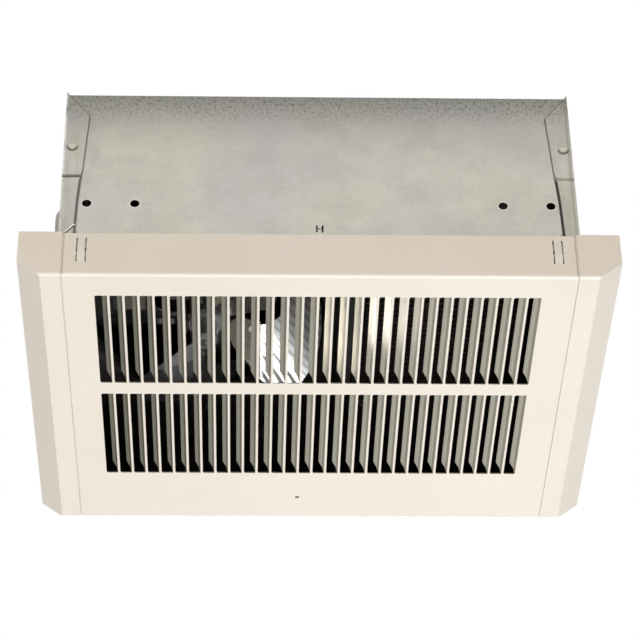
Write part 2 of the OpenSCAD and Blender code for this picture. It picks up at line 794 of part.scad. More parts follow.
module lead(route) {
    p = eased(route, 2);
    n = 8;
    rings = [for (i = [0:len(p) - 1])
        let (t = heading(p, i), u = unit(cross(t, lead_ref)), v = cross(t, u))
        for (k = [0:n - 1]) p[i] + lead_r * (cos(k * 360 / n) * u + sin(k * 360 / n) * v)];
    last = (len(p) - 1) * n;
    polyhedron(rings, concat([[for (k = [n - 1:-1:0]) k]],
        [for (i = [0:len(p) - 2], k = [0:n - 1], h = [0, 1])
            let (a = i * n + k, b = i * n + (k + 1) % n)
            h == 0 ? [a, b, b + n] : [a, b + n, a + n]],
        [[for (k = [0:n - 1]) last + k]]));
}

lane = lead_r + 0.2;
block_z = deck_z - block_wire_z;
lead_x = block_at[0] - block_size[0] / 2;
floor_z = deck_top + lead_r + 0.1;

// Out of pole i of the terminal block, up through the deck by lane [dx, dy]
function riser(i, dx, dy) =
    let (x = lead_hole[0] + dx * lane, y = lead_hole[1] + dy * lane, z = block_z + dy * lane)
    [[lead_x + 3.5, block_at[1] + block_pole[i], block_z],
    [lead_x - 2, block_at[1] + block_pole[i], block_z],
    [x, block_at[1] + block_pole[i], z], [x, y, z]];

coil_face = [fan_x - coil_half, fan_y + limb_y + limb_w / 2];
lead_swing = stator_w + 2;

module motor_leads() {
    color([0.85, 0.84, 0.8]) for (k = [0, 1]) {
        dy = 1 - 2 * k;
        z = strap_z + 2 + k * 1.9;
        wall = -in_l / 2 + lead_r + 0.2;
        off = k * [0, 4, 0];
        lead(concat(riser(2 + k, -1, dy), [
            [lead_hole[0] - lane, lead_hole[1] + dy * lane, deck_top + 8],
            [wall, lead_hole[1] + 14 - k * 5, z + k * 1.5], [wall, fan_y + 6, z + k * 1.5],
            off + [fan_x - lead_swing, fan_y + 22.6, z], off + [fan_x - 34, fan_y + 31, z],
            off + [fan_x - 28, fan_y + 31, stator_z - 5],
            off + [coil_face[0] - 5, coil_face[1] - 8, stator_z - 3],
            off + [coil_face[0], coil_face[1] - 8, stator_z - 3]]));
    }
}

pin_y = -pass_half - tail - end_bush_l - 3.5;
barrel_z = 6;

module heater_leads() {
    x = lead_hole[0] + lane;
    near = -in_d / 2 + lead_r + 0.2;
    spade_top = deck_top + limit_h + spade_h + barrel_z;
    pin_top = element_z + 2.5 + barrel_z;
    color([0.8, 0.35, 0.25]) {
        lead(concat(riser(0, 1, 1), [
            [x, lead_hole[1] + lane, floor_z + 3], [x + 12, limit_y, floor_z + 0.5],
            [limit_x - 20, limit_y, floor_z], [limit_x - 13, limit_y, floor_z],
            [limit_x - 13, limit_y, spade_top + 10], [limit_x - spade_x, limit_y, spade_top + 10],
            [limit_x - spade_x, limit_y, spade_top]]));
        lead(concat(riser(1, 1, -1), [
            [x, lead_hole[1] - lane, floor_z + 3], [x + 14, near, floor_z + 0.5],
            [pass_x[3], near, floor_z], [pass_x[3] + 14, near, floor_z],
            [pass_x[3] + 14, near, pin_top + 8], [pass_x[3], pin_y, pin_top + 12],
            [pass_x[3], pin_y, pin_top]]));
        lead([[limit_x + spade_x, limit_y, spade_top],
            [limit_x + spade_x, limit_y, spade_top + 10], [pass_x[0], pin_y, pin_top + 14],
            [pass_x[0], pin_y, pin_top]]);
    }
}

module lead_receptacles() {
    color([0.8, 0.75, 0.55]) {
        for (x = [pass_x[0], pass_x[3]]) translate([x, pin_y, element_z]) difference() {
            union() {
                translate([-2.5, -3, -2.5]) cube([5, 6, 5]);
                cylinder(r = 2.2, h = 2.5 + barrel_z);
            }
            rotate([90, 0, 0]) cylinder(r = pin_r + 0.05, h = 8, center = true);
        }
        for (s = [-1, 1]) translate([limit_x + s * spade_x, limit_y, deck_top + limit_h + 1])
            difference() {
                union() {
                    translate([-1.4, -3.8, 0]) cube([2.8, 7.6, spade_h - 1]);
                    translate([0, 0, spade_h - 1]) cylinder(r = 2.2, h = barrel_z);
                }
                translate([-0.45, -3.3, -cut]) cube([0.9, 6.6, spade_h - 1 + cut]);
            }
    }
}

// What turns: shaft, rotor, hub, spider and blades
hub_r = 9;
hub_low = fan_z - 20;
hub_h = 34;
hub_flange_r = 13;
spider_t = 1.5;
shaft_low = hub_low - 3;
shaft_top = upper_z + 7;
set_screw_z = fan_z + 9;
set_screw_r = 2.3;

module motor_shaft() {
    color(steel) at_fan(shaft_low) {
        translate([0, 0, 1]) cylinder(r = shaft_r, h = shaft_top - shaft_low - 1);
        cylinder(r1 = shaft_r - 0.8, r2 = shaft_r, h = 1);
    }
}

module rotor_core() {
    color(dark_steel) at_fan(stator_z) difference() {
        cylinder(r = rotor_r, h = stator_h);
        translate([0, 0, -cut]) cylinder(r = shaft_r + bush_gap, h = stator_h + 2 * cut);
    }
}

module rotor_end_rings() {
    color(aluminium) for (z = [stator_z - 3, stator_top]) at_fan(z) difference() {
        cylinder(r = rotor_r - 0.8, h = 3);
        translate([0, 0, -cut]) cylinder(r = shaft_r + 3, h = 3 + 2 * cut);
    }
}

module thrust_washers() {
    color([0.9, 0.9, 0.85]) for (z = [motor_z + 5, upper_z - 6.2]) at_fan(z) difference() {
        cylinder(r = bush_r, h = 1.2);
        translate([0, 0, -cut]) cylinder(r = shaft_r + bush_gap, h = 1.2 + 2 * cut);
    }
}

module fan_hub() {
    color([0.8, 0.8, 0.8]) at_fan(0) difference() {
        union() {
            translate([0, 0, hub_low]) cylinder(r1 = hub_r - 1.5, r2 = hub_r, h = 1.5);
            translate([0, 0, hub_low + 1.5]) cylinder(r = hub_r, h = hub_h - 1.5);
            translate([0, 0, fan_z - spider_t / 2 - 2]) cylinder(r = hub_flange_r, h = 2);
        }
        translate([0, 0, hub_low - cut]) cylinder(r = shaft_r + bush_gap, h = hub_h + 2 * cut);
        translate([0, 0, set_screw_z]) rotate([0, 90, 0])
            cylinder(r = set_screw_r + 0.05, h = hub_r + cut);
    }
}

module hub_set_screw() {
    color(dark_steel) at_fan(set_screw_z) translate([shaft_r + 0.05, 0, 0]) rotate([0, 90, 0])
        difference() {
            cylinder(r = set_screw_r, h = hub_r - shaft_r);
            translate([0, 0, hub_r - shaft_r - 2]) cylinder(r = 1.3, h = 3, $fn = 6);
        }
}

// Children are drawn once per blade, X pointing out along the blade
module each_blade() {
    at_fan(fan_z) for (i = [0:blade_n - 1])
        rotate([0, 0, blade_turn + i * 360 / blade_n]) children();
}

arm_w = 10;
arm_off = 5;
arm_from = hub_flange_r + slide_gap;
arm_to = fan_r * 0.47;
blade_rivets = [fan_r * 0.3, fan_r * 0.4];
blade_rivet_r = 1.5;
blade_drop = spider_t / 2 + arm_w * arm_w / (8 * blade_camber) + bush_gap;

module fan_spider() {
    color(aluminium) difference() {
        union() {
            at_fan(fan_z - spider_t / 2) cylinder(r = hub_flange_r + 3, h = spider_t);
            each_blade() rotate([-blade_pitch, 0, 0])
                translate([arm_from, arm_off - arm_w / 2, -spider_t / 2])
                    cube([arm_to - arm_from, arm_w, spider_t]);
        }
        at_fan(fan_z - cut) cylinder(r = hub_r + 0.05, h = 2 * cut);
        each_blade() rotate([-blade_pitch, 0, 0]) for (u = blade_rivets)
            translate([u, arm_off, -2]) cylinder(r = blade_rivet_r + 0.05, h = 4);
    }
}

// Blade outline seen along the axis: x out from the axis, y round it, in shares of fan_r
blade_shape = [[0.2, -0.04], [0.36, -0.05], [0.47, 0.02], [0.6, -0.03], [0.68, -0.1],
    [0.74, -0.26], [0.84, -0.37], [1.1, -0.44], [1.3, 0], [1.05, 0.62], [0.76, 0.62],
    [0.5, 0.58], [0.38, 0.4], [0.2, 0.16]];

module fan_blades() {
    color(aluminium) each_blade() difference() {
        intersection() {
            translate([0, 0, -fan_r]) linear_extrude(2 * fan_r) intersection() {
                polygon(rounded(fan_r * blade_shape, 2));
                circle(fan_r);
            }
            rotate([-blade_pitch, 0, 0])
                translate([0, arm_off, blade_camber - blade_drop])
                rotate([0, 90, 0]) difference() {
                    cylinder(r = blade_camber + blade_t, h = fan_r + 5, $fn = 180);
                    translate([0, 0, -cut])
                        cylinder(r = blade_camber, h = fan_r + 5 + 2 * cut, $fn = 180);
                }
        }
        rotate([-blade_pitch, 0, 0]) for (u = blade_rivets)
            translate([u, arm_off, -4]) cylinder(r = blade_rivet_r + 0.05, h = 8);
    }
}

module fan_rivets() {
    low = blade_drop + blade_t + bush_gap;
    color(steel) each_blade() rotate([-blade_pitch, 0, 0]) for (u = blade_rivets)
        translate([u, arm_off, -low])
            rivet(blade_rivet_r, low + spider_t / 2 + bush_gap, 2.8, 0.9);
}

// Louvred tray
slot_x = [for (i = [0:louvre_n - 1])
    field_x + (i - (louvre_n - 1) / 2) * louvre_pitch - louvre_w / 2];
row_y = [for (s = [-1, 1]) field_y + s * (row_l + row_gap) / 2];

slot_r = 1.2;
slot_outline = [[louvre_w, 0], [louvre_w, row_l], [slot_r, row_l],
    [0.3 * slot_r, row_l - 0.3 * slot_r], [0, row_l - slot_r],
    [0, slot_r], [0.3 * slot_r, 0.3 * slot_r], [slot_r, 0]];

// Section of one blade from the right edge of its opening, z up from the face
fin_path = [[0.9, 0], [0.3, 0], [0, 0.35],
    [-fin_half * cos(fin_root_angle), fin_half * sin(fin_root_angle)],
    [-fin_half * (cos(fin_root_angle) + cos(fin_tip_angle)), fin_h]];

module louvre_blades(y) {
    translate([0, y, -tray_h]) difference() {
        along_y(row_l) for (x = slot_x) translate([x + louvre_w, 0])
            polygon(strip(fin_path, -tray_t / 2));
        for (s = [-1, 1]) translate([0, s * row_l / 2, 0]) mirror([0, s < 0 ? 1 : 0, 0])
            along_x(panel_l) polygon([[cut, tray_t], [0, tray_t],
                [-fin_trim, fin_h + tray_t], [-fin_trim, fin_h + 2 * cut], [cut, fin_h + 2 * cut]]);
    }
}

// The lanced strips in the tray's long walls, which bow outwards
module at_grips() {
    for (x = [-clip_x, clip_x], s = [-1, 1])
        translate([x, 0, 0]) mirror([0, s < 0 ? 1 : 0, 0]) translate([0, tray_d / 2, grip_z])
            children();
}

module grip_strip() {
    h = grip_l / 2;
    bow_r = (h * h + grip_bulge * grip_bulge) / (2 * grip_bulge);
    intersection() {
        translate([0, grip_bulge - bow_r, 0]) rotate([0, 90, 0]) difference() {
            cylinder(r = bow_r, h = grip_w, center = true, $fn = 180);
            cylinder(r = bow_r - tray_t, h = grip_w + cut, center = true, $fn = 180);
        }
        translate([-grip_w, -tray_t - 0.5, -h - 0.4])
            cube([2 * grip_w, grip_bulge + tray_t + 1, grip_l + 0.8]);
    }
}

module louvre_panel() {
    color(paint) {
        difference() {
            translate([0, 0, -cap_rise]) along_x(panel_l)
                folded_u(tray_d, tray_h - cap_rise, tray_t, tray_r);
            for (x = slot_x, y = row_y) translate([x, y - row_l / 2, -tray_h - cut])
                linear_extrude(tray_t + 2 * cut) polygon(slot_outline);
            at_grips() translate([-grip_w / 2 - grip_slit, -tray_t - cut, -grip_l / 2])
                cube([grip_w + 2 * grip_slit, tray_t + 2 * cut, grip_l]);
        }
        for (y = row_y) louvre_blades(y);
        at_grips() grip_strip();
    }
}

cap_x = panel_l / 2 + seam;
lap_w = 8;
lap_gap = 0.15;

// The end cap's form, drawn in by i all round, for x from x0 outwards
module cap_form(i, x0) {
    slope = atan2(bevel_h, bevel_w);
    toe = i * tan(slope / 2);
    heel = i * tan((90 - slope) / 2);
    lift = i > 0 ? cut : 0;
    intersection() {
        along_y(tray_d) polygon([[x0, i - tray_h], [tray_l / 2 - bevel_w - toe, i - tray_h],
            [tray_l / 2 - i, bevel_h - tray_h + heel], [tray_l / 2 - i, lift], [x0, lift]]);
        translate([0, 0, lift]) along_x(tray_l)
            sagging_rect(tray_d - 2 * i, tray_h - i + lift, tray_r - i);
    }
}

// A folded strip of the tray's section from x0 to x1, drawn in by i and t thick
module lap(x0, x1, i, t) {
    translate([(x0 + x1) / 2, 0, -cap_rise - 0.5]) along_x(x1 - x0)
        folded_u(tray_d - 2 * i, tray_h - cap_rise - 0.5 - i, t, tray_r - i);
}

module end_cap() {
    color(paint) {
        difference() {
            cap_form(0, cap_x);
            cap_form(tray_t, cap_x - cut);
        }
        lap(cap_x - lap_w, cap_x + tray_t, tray_t + lap_gap, tray_t);
        lap(cap_x, cap_x + tray_t, tray_t / 2, tray_t + lap_gap + 0.3);
    }
}

module left_end_cap() {
    mirror([1, 0, 0]) end_cap();
}

module right_end_cap() {
    end_cap();
}

housing_wrapper();
left_end_panel();
right_end_panel();
corner_rivets();
fan_deck();
deck_screws();
divider();
divider_screws();
wiring_cover();
wiring_cover_screw();
terminal_block();
terminal_screws();
ground_screw();
grille_clips();
clip_rivets();
motor_strap();
strap_screws();
motor_mount_screws();
lower_bearing_bracket();
upper_bearing_bracket();
bearing_bushes();
stator_core();
shading_rings();
coil_bobbin();
coil_winding();
motor_clamp_screws();
motor_clamp_nuts();
heating_element();
element_plates();
element_brackets();
element_bracket_screws();
element_bushes();
element_terminals();
limit_switch();
limit_switch_screws();
motor_leads();
heater_leads();
lead_receptacles();
motor_shaft();
rotor_core();
rotor_end_rings();
thrust_washers();
fan_hub();
hub_set_screw();
fan_spider();
fan_blades();
fan_rivets();
louvre_panel();
left_end_cap();
right_end_cap();
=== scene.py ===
import math
import bpy
import bmesh
from mathutils import Matrix, Vector

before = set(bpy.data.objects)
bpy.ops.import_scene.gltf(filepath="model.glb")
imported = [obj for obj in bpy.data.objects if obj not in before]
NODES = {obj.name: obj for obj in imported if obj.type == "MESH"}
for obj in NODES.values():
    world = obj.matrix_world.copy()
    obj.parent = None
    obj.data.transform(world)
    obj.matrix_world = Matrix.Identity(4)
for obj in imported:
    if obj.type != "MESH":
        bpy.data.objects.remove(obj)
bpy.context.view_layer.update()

scene = bpy.context.scene

# Sizes that the materials follow, in metres in the CAD frame
# Box: half its length and depth and its top, then its clinch rivets, joist holes and tabs
HALF_L, HALF_D, BOX_TOP = 0.181, 0.1458, 0.133
RIVET_IN, RIVET_Z, RIVET_RING = 0.006, 0.081, 0.0038
JOIST_PAIR_IN, JOIST_PAIR_HALF, JOIST_Z, JOIST_RIM = 0.0352, 0.0168, 0.0287, 0.0039
TAB_BEND_IN, TAB_CREASE_Z = 0.0022, 0.0539
# Tray: its ends, long walls and seams, its face, its bevels, and where the louvres are
TRAY_HALF_L, WALL_Y, SEAM_X = 0.208, 0.1485, 0.177
FACE_MIDDLE, FACE_INSIDE = -0.03755, -0.0368
BEVEL_TOP, BEVEL_SLOPE = -0.026, 0.75
FIELD_AT, FIELD_HALF = (-0.001, -0.01875), (0.157, 0.11)
CHIP_AT = (-0.0111, 0.121)
# Fan: its axis, how far behind an arm its quarter of the turn starts (in radians), how far
# the arms are off centre, and how far out the crease is that the blades' bump shows
FAN_AT, QUARTER_START, ARM_OFF, CREASE_OUT = (-0.081, 0.010), 0.436, 0.005, 0.039
FLOOR_Z = -1.7

# Camera: fitted to the outline of the tray and the box in the photograph
PITCH, YAW, ROLL = 0.6614, -0.0365, -0.0169
CAM_AT = Vector((-0.05025, -1.49664, -1.12570))
FRAME_PX, FOCAL_PX, SENSOR_MM = 640, 2536.2, 36.0


def camera_axes(pitch, yaw, roll):
    """The camera's right, down and forward directions."""
    forward = Vector((0, math.cos(pitch), math.sin(pitch)))
    right = Vector((1, 0, 0))
    down = forward.cross(right)
    turn = Matrix.Rotation(yaw, 3, "Z")
    forward, right, down = turn @ forward, turn @ right, turn @ down
    c, s = math.cos(roll), math.sin(roll)
    return c * right - s * down, s * right + c * down, forward


right, down, forward = camera_axes(PITCH, YAW, ROLL)
cam_data = bpy.data.cameras.new("camera")
cam_data.sensor_fit = "HORIZONTAL"
cam_data.sensor_width = SENSOR_MM
cam_data.lens = FOCAL_PX / FRAME_PX * SENSOR_MM
cam_data.clip_start = 0.05
camera = bpy.data.objects.new("camera", cam_data)
basis = Matrix((right, -down, -forward)).transposed()
camera.matrix_world = Matrix.Translation(CAM_AT) @ basis.to_4x4()
scene.collection.objects.link(camera)
scene.camera = camera


class Shader:
    """A material with its Principled shader, and short ways to add nodes to it."""

    def __init__(self, name):
        self.mat = bpy.data.materials.new(name)
        self.mat.use_nodes = True
        self.tree = self.mat.node_tree
        self.bsdf = self.tree.nodes["Principled BSDF"]
        self.coords = self.tree.nodes.new("ShaderNodeTexCoord").outputs["Object"]

    def put(self, socket, value):
        """Links another node's socket to this one, or gives it a plain value."""
        if isinstance(value, bpy.types.NodeSocket):
            self.tree.links.new(value, socket)
        else:
            socket.default_value = value

    def node(self, kind, inputs=None, **settings):
        n = self.tree.nodes.new("ShaderNode" + kind)
        for key, value in settings.items():
            setattr(n, key, value)
        for key, value in (inputs or {}).items():
            self.put(n.inputs[key], value)
        return n

    def set(self, **values):
        for key, value in values.items():
            self.put(self.bsdf.inputs[key.replace("_", " ")], value)
        return self

    def bump(self, height, strength, distance):
        n = self.node("Bump", {"Height": height, "Strength": strength, "Distance": distance})
        self.put(self.bsdf.inputs["Normal"], n.outputs[0])
        return self

    def axis(self, name):
        return self.node("SeparateXYZ", {"Vector": self.coords}).outputs[name]

    def stretched(self, scale, turn=(0, 0, 0)):
        return self.node("Mapping", {"Vector": self.coords, "Scale": scale,
                                     "Rotation": turn}).outputs[0]

    def noise(self, scale, detail=2.0, rough=0.5, vector=None):
        return self.node("TexNoise", {"Vector": vector or self.coords, "Scale": scale,
                                      "Detail": detail, "Roughness": rough}).outputs["Fac"]

    def mix(self, fac, a, b):
        return self.node("Mix", {0: fac, 6: a, 7: b}, data_type="RGBA").outputs[2]

    def math(self, op, a, b=0.0, clamp=False):
        return self.node("Math", {0: a, 1: b}, operation=op, use_clamp=clamp).outputs[0]

    def add(self, a, b):
        return self.math("ADD", a, b)

    def sub(self, a, b, clamp=False):
        return self.math("SUBTRACT", a, b, clamp)

    def mul(self, first, *rest):
        for value in rest:
            first = self.math("MULTIPLY", first, value)
        return first

    def larger(self, a, b):
        return self.math("MAXIMUM", a, b)

    def smaller(self, a, b):
        return self.math("MINIMUM", a, b)

    def absolute(self, value):
        return self.math("ABSOLUTE", value)

    def off(self, value, at):
        """How far a value is from another, either way."""
        return self.absolute(self.sub(value, at))

    def distance(self, a, b):
        return self.math("SQRT", self.add(self.mul(a, a), self.mul(b, b)))

    def below(self, value, limit):
        return self.math("LESS_THAN", value, limit)

    def above(self, value, limit):
        return self.math("GREATER_THAN", value, limit)

    def remap(self, value, a, b, c, d, kind="LINEAR"):
        """Runs from c, where the value is a, to d, where it is b, and stays flat beyond them."""
        return self.node("MapRange", {"Value": value, "From Min": a, "From Max": b,
                                      "To Min": c, "To Max": d},
                         interpolation_type=kind).outputs[0]

    def stripe(self, value, at, solid, fades, strength=1):
        """A soft stripe: full up to `solid` away from the place, gone at `fades`."""
        return self.remap(self.off(value, at), solid, fades, strength, 0)


def rgb(r, g, b):
    """A colour as written in 8 bits, made linear."""
    out = []
    for v in (r, g, b):
        v = v / 255
        out.append(v / 12.92 if v <= 0.04045 else ((v + 0.055) / 1.055) ** 2.4)
    return (*out, 1.0)


def darker(colour, share):
    return (*(v * share for v in colour[:3]), 1.0)


# Painted tray
def blade_paint_in_shade(s, x, z):
    """Louvre blade paint in painted shade: greyer than the face, darker at the bend and to the
    left.
    """
    col = s.mix(s.noise(34, 3, 0.6), rgb(216, 214, 198), rgb(228, 225, 208))
    root = s.mul(s.remap(z, -0.0367, -0.0318, 0.85, 0, "SMOOTHSTEP"),
                 s.remap(x, -0.12, 0.02, 1.0, 0.3))
    col = s.mix(root, col, rgb(100, 95, 76))
    return s.mix(s.remap(x, -0.15, 0.02, 0.66, 0), col, rgb(96, 93, 80))


def enamel():
    s = Shader("warm_white_enamel")
    x, y, z = s.axis("X"), s.axis("Y"), s.axis("Z")
    broad = s.noise(9, 3, 0.5)
    fine = s.noise(420, 3, 0.55)
    col = s.mix(s.remap(broad, 0.3, 0.7, 0, 1), rgb(240, 232, 219), rgb(236, 227, 213))
    specks = s.remap(s.noise(700, 1, 0.4), 0.27, 0.2, 0, 0.25)
    col = s.mix(specks, col, rgb(190, 178, 158))

    # Cut edges of the louvre openings
    in_field = s.mul(s.below(s.off(y, FIELD_AT[1]), FIELD_HALF[1]),
                     s.below(s.off(x, FIELD_AT[0]), FIELD_HALF[0]))
    cut_face = s.below(s.off(z, FACE_MIDDLE), 0.0004)
    col = s.mix(s.mul(cut_face, in_field, 0.75), col, rgb(120, 114, 102))

    # Painted highlight on the near bend, painted shade in the seams, painted highlight on the
    # bevels' edge
    bend = s.mul(s.remap(y, -0.1466, -0.1474, 0, 1), s.below(z, FACE_INSIDE))
    col = s.mix(bend, col, rgb(248, 243, 233))
    on_wall = s.above(s.absolute(y), WALL_Y)
    seam_shade = s.stripe(s.absolute(x), SEAM_X, 0.0006, 0.001, 0.6)
    col = s.mix(s.mul(seam_shade, on_wall), col, rgb(122, 118, 98))
    mitre = s.add(s.sub(z, BEVEL_TOP), s.mul(s.sub(TRAY_HALF_L, s.absolute(x)), BEVEL_SLOPE))
    ridge_highlight = s.remap(s.absolute(mitre), 0.0005, 0.0014, 0.5, 0)
    col = s.mix(s.mul(ridge_highlight, on_wall), col, rgb(250, 244, 234))

    # Chip in the face near its far edge
    chip = s.distance(s.mul(s.sub(x, CHIP_AT[0]), 0.8), s.sub(y, CHIP_AT[1]))
    col = s.mix(s.remap(chip, 0.0011, 0.0016, 0.95, 0), col, rgb(56, 54, 45))

    col = s.mix(s.mul(s.above(z, FACE_INSIDE), in_field), col, blade_paint_in_shade(s, x, z))
    s.set(Base_Color=col, Roughness=s.remap(fine, 0.3, 0.7, 0.4, 0.52), IOR=1.5)
    return s.bump(s.add(fine, s.mul(broad, 0.6)), 0.14, 0.00025).mat


# Galvanised box
def inside_box(s, x, y, z):
    """1 on faces inside the housing, 0 on its outer skin."""
    skin = 0.0004
    return s.mul(s.below(s.absolute(y), HALF_D - skin), s.below(s.absolute(x), HALF_L - skin),
                 s.below(z, BOX_TOP - skin))


def spangle(s):
    """Flat crystals of zinc: a tone from 0 to 1 with soft, broken edges."""
    warp = s.noise(60, 3, 0.6)
    shift = s.node("CombineXYZ", {"X": s.mul(warp, 0.004), "Y": s.mul(warp, 0.003),
                                  "Z": s.mul(warp, -0.003)}).outputs[0]
    moved = s.node("VectorMath", {0: s.coords, 1: shift}, operation="ADD").outputs[0]
    big = s.node("TexVoronoi", {"Vector": moved, "Scale": 62.0}, feature="SMOOTH_F1")
    small = s.node("TexVoronoi", {"Vector": moved, "Scale": 240.0})
    tone_a = s.node("SeparateColor", {"Color": big.outputs["Color"]}).outputs[0]
    tone_b = s.node("SeparateColor", {"Color": small.outputs["Color"]}).outputs[1]
    return s.add(s.mul(tone_a, 0.65), s.mul(tone_b, 0.35))


def tab_width(s, z):
    """How far a corner tab reaches in from the box's end at each height."""
    def line(width, at, slope):
        return s.add(s.mul(s.sub(z, at), slope), width)

    foot = s.larger(line(0.0113, 0.031, 0.0276), line(0.0125, 0.049, 0.0667))
    step = s.larger(foot, line(0.0125, 0.049, 0.2))
    upper = s.smaller(step, line(0.0145, 0.059, 0.0576))
    return s.smaller(upper, line(0.0, BOX_TOP, -0.8))


def from_rivet(s, inward, z):
    """Distance from the middle of a clinch rivet."""
    return s.distance(s.sub(inward, RIVET_IN), s.sub(z, RIVET_Z))


def weathered_zinc(s, tone, z):
    """Bare sheet: broad patches, crystals, darker towards the top, and grit and scratches under
    the top edge.
    """
    lean = s.remap(z, 0.0, 0.11, 0.08, -0.08)
    patch = s.remap(s.add(s.noise(11, 2, 0.5), lean), 0.38, 0.62, 0, 1, "SMOOTHSTEP")
    col = s.mix(patch, rgb(194, 193, 191), rgb(200, 199, 188))
    col = s.mix(s.remap(tone, 0.1, 0.9, 0.5, 0), col, rgb(164, 165, 160))
    height = s.remap(z, 0.055, BOX_TOP, 0, 1)
    col = s.mix(s.mul(height, height, 0.8), col, rgb(112, 114, 106))
    grit = s.remap(s.noise(480, 4, 0.7, s.stretched((1, 1, 0.75))), 0.52, 0.3, 0, 1)
    col = s.mix(s.mul(grit, s.remap(z, 0.1, 0.124, 0, 1)), col, rgb(70, 69, 62))
    specks = s.remap(s.noise(300, 2, 0.6), 0.3, 0.22, 0, 0.45)
    col = s.mix(specks, col, rgb(104, 100, 90))
    scratch = s.remap(s.noise(24, 4, 0.5, s.stretched((1, 1, 18), (0, 0.5, 0))),
                      0.7, 0.76, 0, 0.35)
    return s.mix(s.mul(scratch, s.remap(z, 0.08, 0.11, 0, 1)), col, rgb(84, 82, 74))


def tab_streaks_and_painted_light(s, col, z, inward, side, on_long, right_end):
    """Streaks on the corner tabs, painted glints, and painted shade at the bend line, the crease,
    the clinch ring and the dark edge.
    """
    streak = s.remap(s.noise(230, 3, 0.6, s.stretched((1, 1, 0.1))), 0.45, 0.62, 0, 0.45)
    col = s.mix(s.mul(streak, s.remap(z, 0.1, 0.09, 0, 1)), col, rgb(168, 162, 142))
    # Painted glints along the edge of the left tabs
    glint = s.mul(s.remap(inward, 0.0016, 0.0008, 0, 0.6),
                  s.remap(s.noise(90, 3, 0.6), 0.4, 0.55, 0, 1), s.sub(1.0, right_end))
    col = s.mix(s.mul(glint, on_long), col, rgb(236, 235, 230))
    # Painted shade along the bend line of the right tabs
    bend = s.mul(s.stripe(inward, TAB_BEND_IN, 0.0004, 0.0012, 0.45), right_end)
    col = s.mix(s.mul(bend, on_long), col, rgb(120, 118, 106))
    # Painted shade along the tab's edge, at and below the crease, and round the lower half of the
    # clinch ring
    edge = s.remap(side, -0.0009, -0.0003, 0, 0.75)
    wavy = s.add(z, s.mul(s.noise(140, 3, 0.6), 0.0014))
    crease = s.stripe(wavy, TAB_CREASE_Z, 0.0004, 0.002, s.remap(right_end, 0, 1, 0.95, 0.5))
    low = s.remap(z, 0.052, 0.042, 0, 0.1)
    ring = s.stripe(from_rivet(s, inward, z), RIVET_RING, 0.0003, 0.0008)
    under = s.remap(z, RIVET_Z - 0.002, RIVET_Z + 0.0025, 0.85, 0)
    marks_and_shade = s.larger(s.add(crease, low), s.mul(ring, under))
    return s.mix(s.mul(s.larger(marks_and_shade, edge), on_long), col, rgb(72, 70, 58))


def wall_painted_light(s, col, z, inward, side, on_long, right_end):
    """Painted shadow beside and below the tabs, and painted highlights on the rims of the joist
    holes.
    """
    # Painted shadow beside the tabs, wider low down
    edge = s.mul(s.remap(side, 0.0001, s.remap(z, 0.06, 0.045, 0.0006, 0.002), 0.8, 0),
                 s.remap(side, -0.003, -0.002, 0, 1))
    # Painted highlight round the rims of the joist holes
    hole = s.distance(s.sub(s.off(inward, JOIST_PAIR_IN), JOIST_PAIR_HALF), s.sub(z, JOIST_Z))
    rim_highlight = s.stripe(hole, JOIST_RIM, 0.0002, 0.0008, 0.35)
    col = s.mix(s.mul(rim_highlight, on_long), col, rgb(222, 222, 216))
    # Painted shade below the foot of the tabs
    notch_shade = s.mul(s.remap(z, 0.004, 0.002, 0, 0.7), s.remap(inward, 0.014, 0.012, 0, 1))
    col = s.mix(s.mul(s.larger(edge, notch_shade), on_long), col, rgb(72, 70, 60))
    # Painted black shadow in the gap beside the lower part of the tabs
    gap_shadow = s.mul(s.stripe(side, 0.0007, 0.0006, 0.001),
                s.remap(z, 0.056, 0.05, 0, s.remap(right_end, 0, 1, 0.5, 1)))
    return s.mix(s.mul(gap_shadow, on_long), col, rgb(22, 21, 16))


def foot_cut_painted_light(s, col, z, inward, on_left_long):
    """Painted shade in a slanting cut, with a painted highlight on its lip, at the foot of the
    left corner tab.
    """
    cut = s.sub(s.sub(z, 0.0019), s.mul(s.sub(inward, 0.0051), 1.1))
    within = s.mul(s.below(s.off(inward, 0.0078), 0.0033), on_left_long)
    col = s.mix(s.mul(s.below(s.off(cut, -0.0006), 0.0008), within), col, rgb(24, 22, 18))
    return s.mix(s.mul(s.below(s.off(cut, 0.0008), 0.0006), within), col, rgb(236, 235, 228))


def galvanised(name, marks_and_shade):
    s = Shader(name)
    x, y, z = s.axis("X"), s.axis("Y"), s.axis("Z")
    tone = spangle(s)
    inward = s.sub(HALF_L, s.absolute(x))
    side = s.sub(inward, tab_width(s, z))
    on_long = s.above(s.absolute(y), HALF_D - 0.0002)
    right_end = s.above(x, 0.0)
    col = marks_and_shade(s, weathered_zinc(s, tone, z), z, inward, side, on_long, right_end)
    col = foot_cut_painted_light(s, col, z, inward, s.sub(on_long, right_end, clamp=True))
    # Darker along the top fold of the long walls
    fold = s.mul(s.remap(z, BOX_TOP - 0.0022, BOX_TOP - 0.0008, 0, 0.6),
                 s.above(s.absolute(y), HALF_D - 0.002))
    col = s.mix(fold, col, rgb(84, 84, 76))
    # Nearly black on the faces inside the housing
    col = s.mix(inside_box(s, x, y, z), col, rgb(26, 25, 23))
    s.set(Base_Color=col, Metallic=0.35, Roughness=s.remap(tone, 0, 1, 0.42, 0.62))
    return s.bump(s.add(s.mul(tone, 0.5), s.noise(260, 4, 0.6)), 0.09, 0.0003).mat


